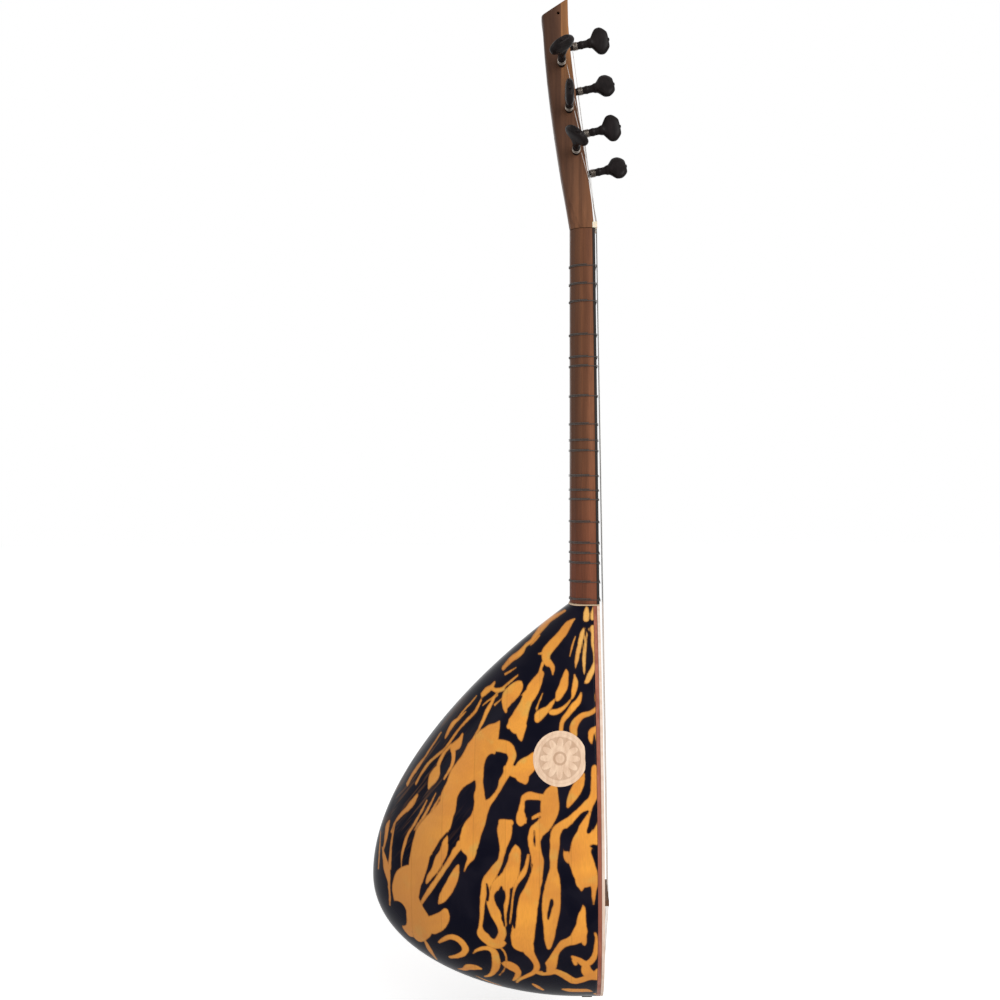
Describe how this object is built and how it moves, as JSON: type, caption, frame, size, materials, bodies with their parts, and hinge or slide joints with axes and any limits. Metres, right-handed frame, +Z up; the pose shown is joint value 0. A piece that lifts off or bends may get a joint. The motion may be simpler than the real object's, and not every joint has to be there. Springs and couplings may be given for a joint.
{
  "type": "short-neck baglama",
  "caption": "Plucked lute with a deep pear-shaped bowl, flat soundboard, long tied-fret neck, leaning head with friction pegs in face and side, floating bridge and steel strings.",
  "frame": {"origin": "centre of the hanging hole near the tip of the head", "axes": "+Z up the neck towards the head, +X out of the soundboard, -Y towards the side that the side pegs and the medallion are on"},
  "size_m": [0.2572, 0.224, 0.9894],
  "materials": {
    "bowl": "marbled orange and blue-black, high gloss lacquer",
    "spruce": "satin lacquer",
    "rim": "gloss lacquer",
    "veneer": "satin lacquer",
    "neck": "satin lacquer",
    "head": "satin lacquer",
    "ebony": "polished black wood",
    "bone": "polished bone",
    "bridge": "bare dark wood",
    "pegs": "black wood, satin",
    "medallion": "bare pale wood",
    "strings": "drawn steel wire",
    "frets": "nylon line"
  },
  "bodies": {
    "instrument": {"bowl": "bowl", "brace_lower": "spruce", "brace_upper": "spruce", "fingerboard": "ebony", "head": "head", "joint_veneer": "veneer", "medallion": "medallion", "neck": "neck", "nut": "bone", "rim_strip": "rim", "soundboard": "spruce", "string_1": "strings", "string_2": "strings", "string_3": "strings", "string_4": "strings", "string_5": "strings", "string_6": "strings", "string_7": "strings", "tail_saddle": "bone", "tailpiece": "ebony"},
    "side_peg_3": {"side_peg_3": "pegs", "winding_1": "strings"},
    "side_peg_2": {"side_peg_2": "pegs", "winding_2": "strings"},
    "side_peg_1": {"side_peg_1": "pegs", "winding_3": "strings"},
    "face_peg_4": {"face_peg_4": "pegs", "winding_4": "strings"},
    "face_peg_3": {"face_peg_3": "pegs", "winding_5": "strings"},
    "face_peg_2": {"face_peg_2": "pegs", "winding_6": "strings"},
    "face_peg_1": {"face_peg_1": "pegs", "winding_7": "strings"},
    "fret_01": {"fret_01": "frets"},
    "fret_02": {"fret_02": "frets"},
    "fret_03": {"fret_03": "frets"},
    "fret_04": {"fret_04": "frets"},
    "fret_05": {"fret_05": "frets"},
    "fret_06": {"fret_06": "frets"},
    "fret_07": {"fret_07": "frets"},
    "fret_08": {"fret_08": "frets"},
    "fret_09": {"fret_09": "frets"},
    "fret_10": {"fret_10": "frets"},
    "fret_11": {"fret_11": "frets"},
    "fret_12": {"fret_12": "frets"},
    "fret_13": {"fret_13": "frets"},
    "fret_14": {"fret_14": "frets"},
    "fret_15": {"fret_15": "frets"},
    "fret_16": {"fret_16": "frets"},
    "fret_17": {"fret_17": "frets"},
    "fret_18": {"fret_18": "frets"},
    "fret_19": {"fret_19": "frets"},
    "bridge": {"bridge": "bridge"}
  },
  "joints": [
    {"name": "side_peg_3_turn", "type": "hinge", "parent": "instrument", "child": "side_peg_3", "pos_m": [0.01747, -0.014, -0.1378], "axis": [0, -0.9781, 0.2079], "continuous": true},
    {"name": "side_peg_2_turn", "type": "hinge", "parent": "instrument", "child": "side_peg_2", "pos_m": [0.01066, -0.014, -0.096], "axis": [0, -0.9781, 0.2079], "continuous": true},
    {"name": "side_peg_1_turn", "type": "hinge", "parent": "instrument", "child": "side_peg_1", "pos_m": [0.00337, -0.014, -0.0505], "axis": [0, -0.9781, 0.2079], "continuous": true},
    {"name": "face_peg_4_turn", "type": "hinge", "parent": "instrument", "child": "face_peg_4", "pos_m": [0.02837, 0, -0.1565], "axis": [0.9781, 0, 0.2079], "continuous": true},
    {"name": "face_peg_3_turn", "type": "hinge", "parent": "instrument", "child": "face_peg_3", "pos_m": [0.0225, 0, -0.1165], "axis": [0.9781, 0, 0.2079], "continuous": true},
    {"name": "face_peg_2_turn", "type": "hinge", "parent": "instrument", "child": "face_peg_2", "pos_m": [0.01635, 0, -0.074], "axis": [0.9781, 0, 0.2079], "continuous": true},
    {"name": "face_peg_1_turn", "type": "hinge", "parent": "instrument", "child": "face_peg_1", "pos_m": [0.01119, 0, -0.029], "axis": [0.9781, 0, 0.2079], "continuous": true},
    {"name": "fret_01_slide", "type": "slide", "parent": "instrument", "child": "fret_01", "axis": [0, 0, 1], "range_m": [-0.0025, 0.0025]},
    {"name": "fret_02_slide", "type": "slide", "parent": "instrument", "child": "fret_02", "axis": [0, 0, 1], "range_m": [-0.0025, 0.0025]},
    {"name": "fret_03_slide", "type": "slide", "parent": "instrument", "child": "fret_03", "axis": [0, 0, 1], "range_m": [-0.0025, 0.0025]},
    {"name": "fret_04_slide", "type": "slide", "parent": "instrument", "child": "fret_04", "axis": [0, 0, 1], "range_m": [-0.0025, 0.0025]},
    {"name": "fret_05_slide", "type": "slide", "parent": "instrument", "child": "fret_05", "axis": [0, 0, 1], "range_m": [-0.0025, 0.0025]},
    {"name": "fret_06_slide", "type": "slide", "parent": "instrument", "child": "fret_06", "axis": [0, 0, 1], "range_m": [-0.0025, 0.0025]},
    {"name": "fret_07_slide", "type": "slide", "parent": "instrument", "child": "fret_07", "axis": [0, 0, 1], "range_m": [-0.0025, 0.0025]},
    {"name": "fret_08_slide", "type": "slide", "parent": "instrument", "child": "fret_08", "axis": [0, 0, 1], "range_m": [-0.0025, 0.0025]},
    {"name": "fret_09_slide", "type": "slide", "parent": "instrument", "child": "fret_09", "axis": [0, 0, 1], "range_m": [-0.0025, 0.0025]},
    {"name": "fret_10_slide", "type": "slide", "parent": "instrument", "child": "fret_10", "axis": [0, 0, 1], "range_m": [-0.0025, 0.0025]},
    {"name": "fret_11_slide", "type": "slide", "parent": "instrument", "child": "fret_11", "axis": [0, 0, 1], "range_m": [-0.0025, 0.0025]},
    {"name": "fret_12_slide", "type": "slide", "parent": "instrument", "child": "fret_12", "axis": [0, 0, 1], "range_m": [-0.0025, 0.0025]},
    {"name": "fret_13_slide", "type": "slide", "parent": "instrument", "child": "fret_13", "axis": [0, 0, 1], "range_m": [-0.0025, 0.0025]},
    {"name": "fret_14_slide", "type": "slide", "parent": "instrument", "child": "fret_14", "axis": [0, 0, 1], "range_m": [-0.0025, 0.0025]},
    {"name": "fret_15_slide", "type": "slide", "parent": "instrument", "child": "fret_15", "axis": [0, 0, 1], "range_m": [-0.0025, 0.0025]},
    {"name": "fret_16_slide", "type": "slide", "parent": "instrument", "child": "fret_16", "axis": [0, 0, 1], "range_m": [-0.0025, 0.0025]},
    {"name": "fret_17_slide", "type": "slide", "parent": "instrument", "child": "fret_17", "axis": [0, 0, 1], "range_m": [-0.0025, 0.0025]},
    {"name": "fret_18_slide", "type": "slide", "parent": "instrument", "child": "fret_18", "axis": [0, 0, 1], "range_m": [-0.0025, 0.0025]},
    {"name": "fret_19_slide", "type": "slide", "parent": "instrument", "child": "fret_19", "axis": [0, 0, 1], "range_m": [0, 0.0025]},
    {"name": "bridge_slide", "type": "slide", "parent": "instrument", "child": "bridge", "axis": [0, 0, 1], "range_m": [-0.0025, 0.0025]}
  ]
}
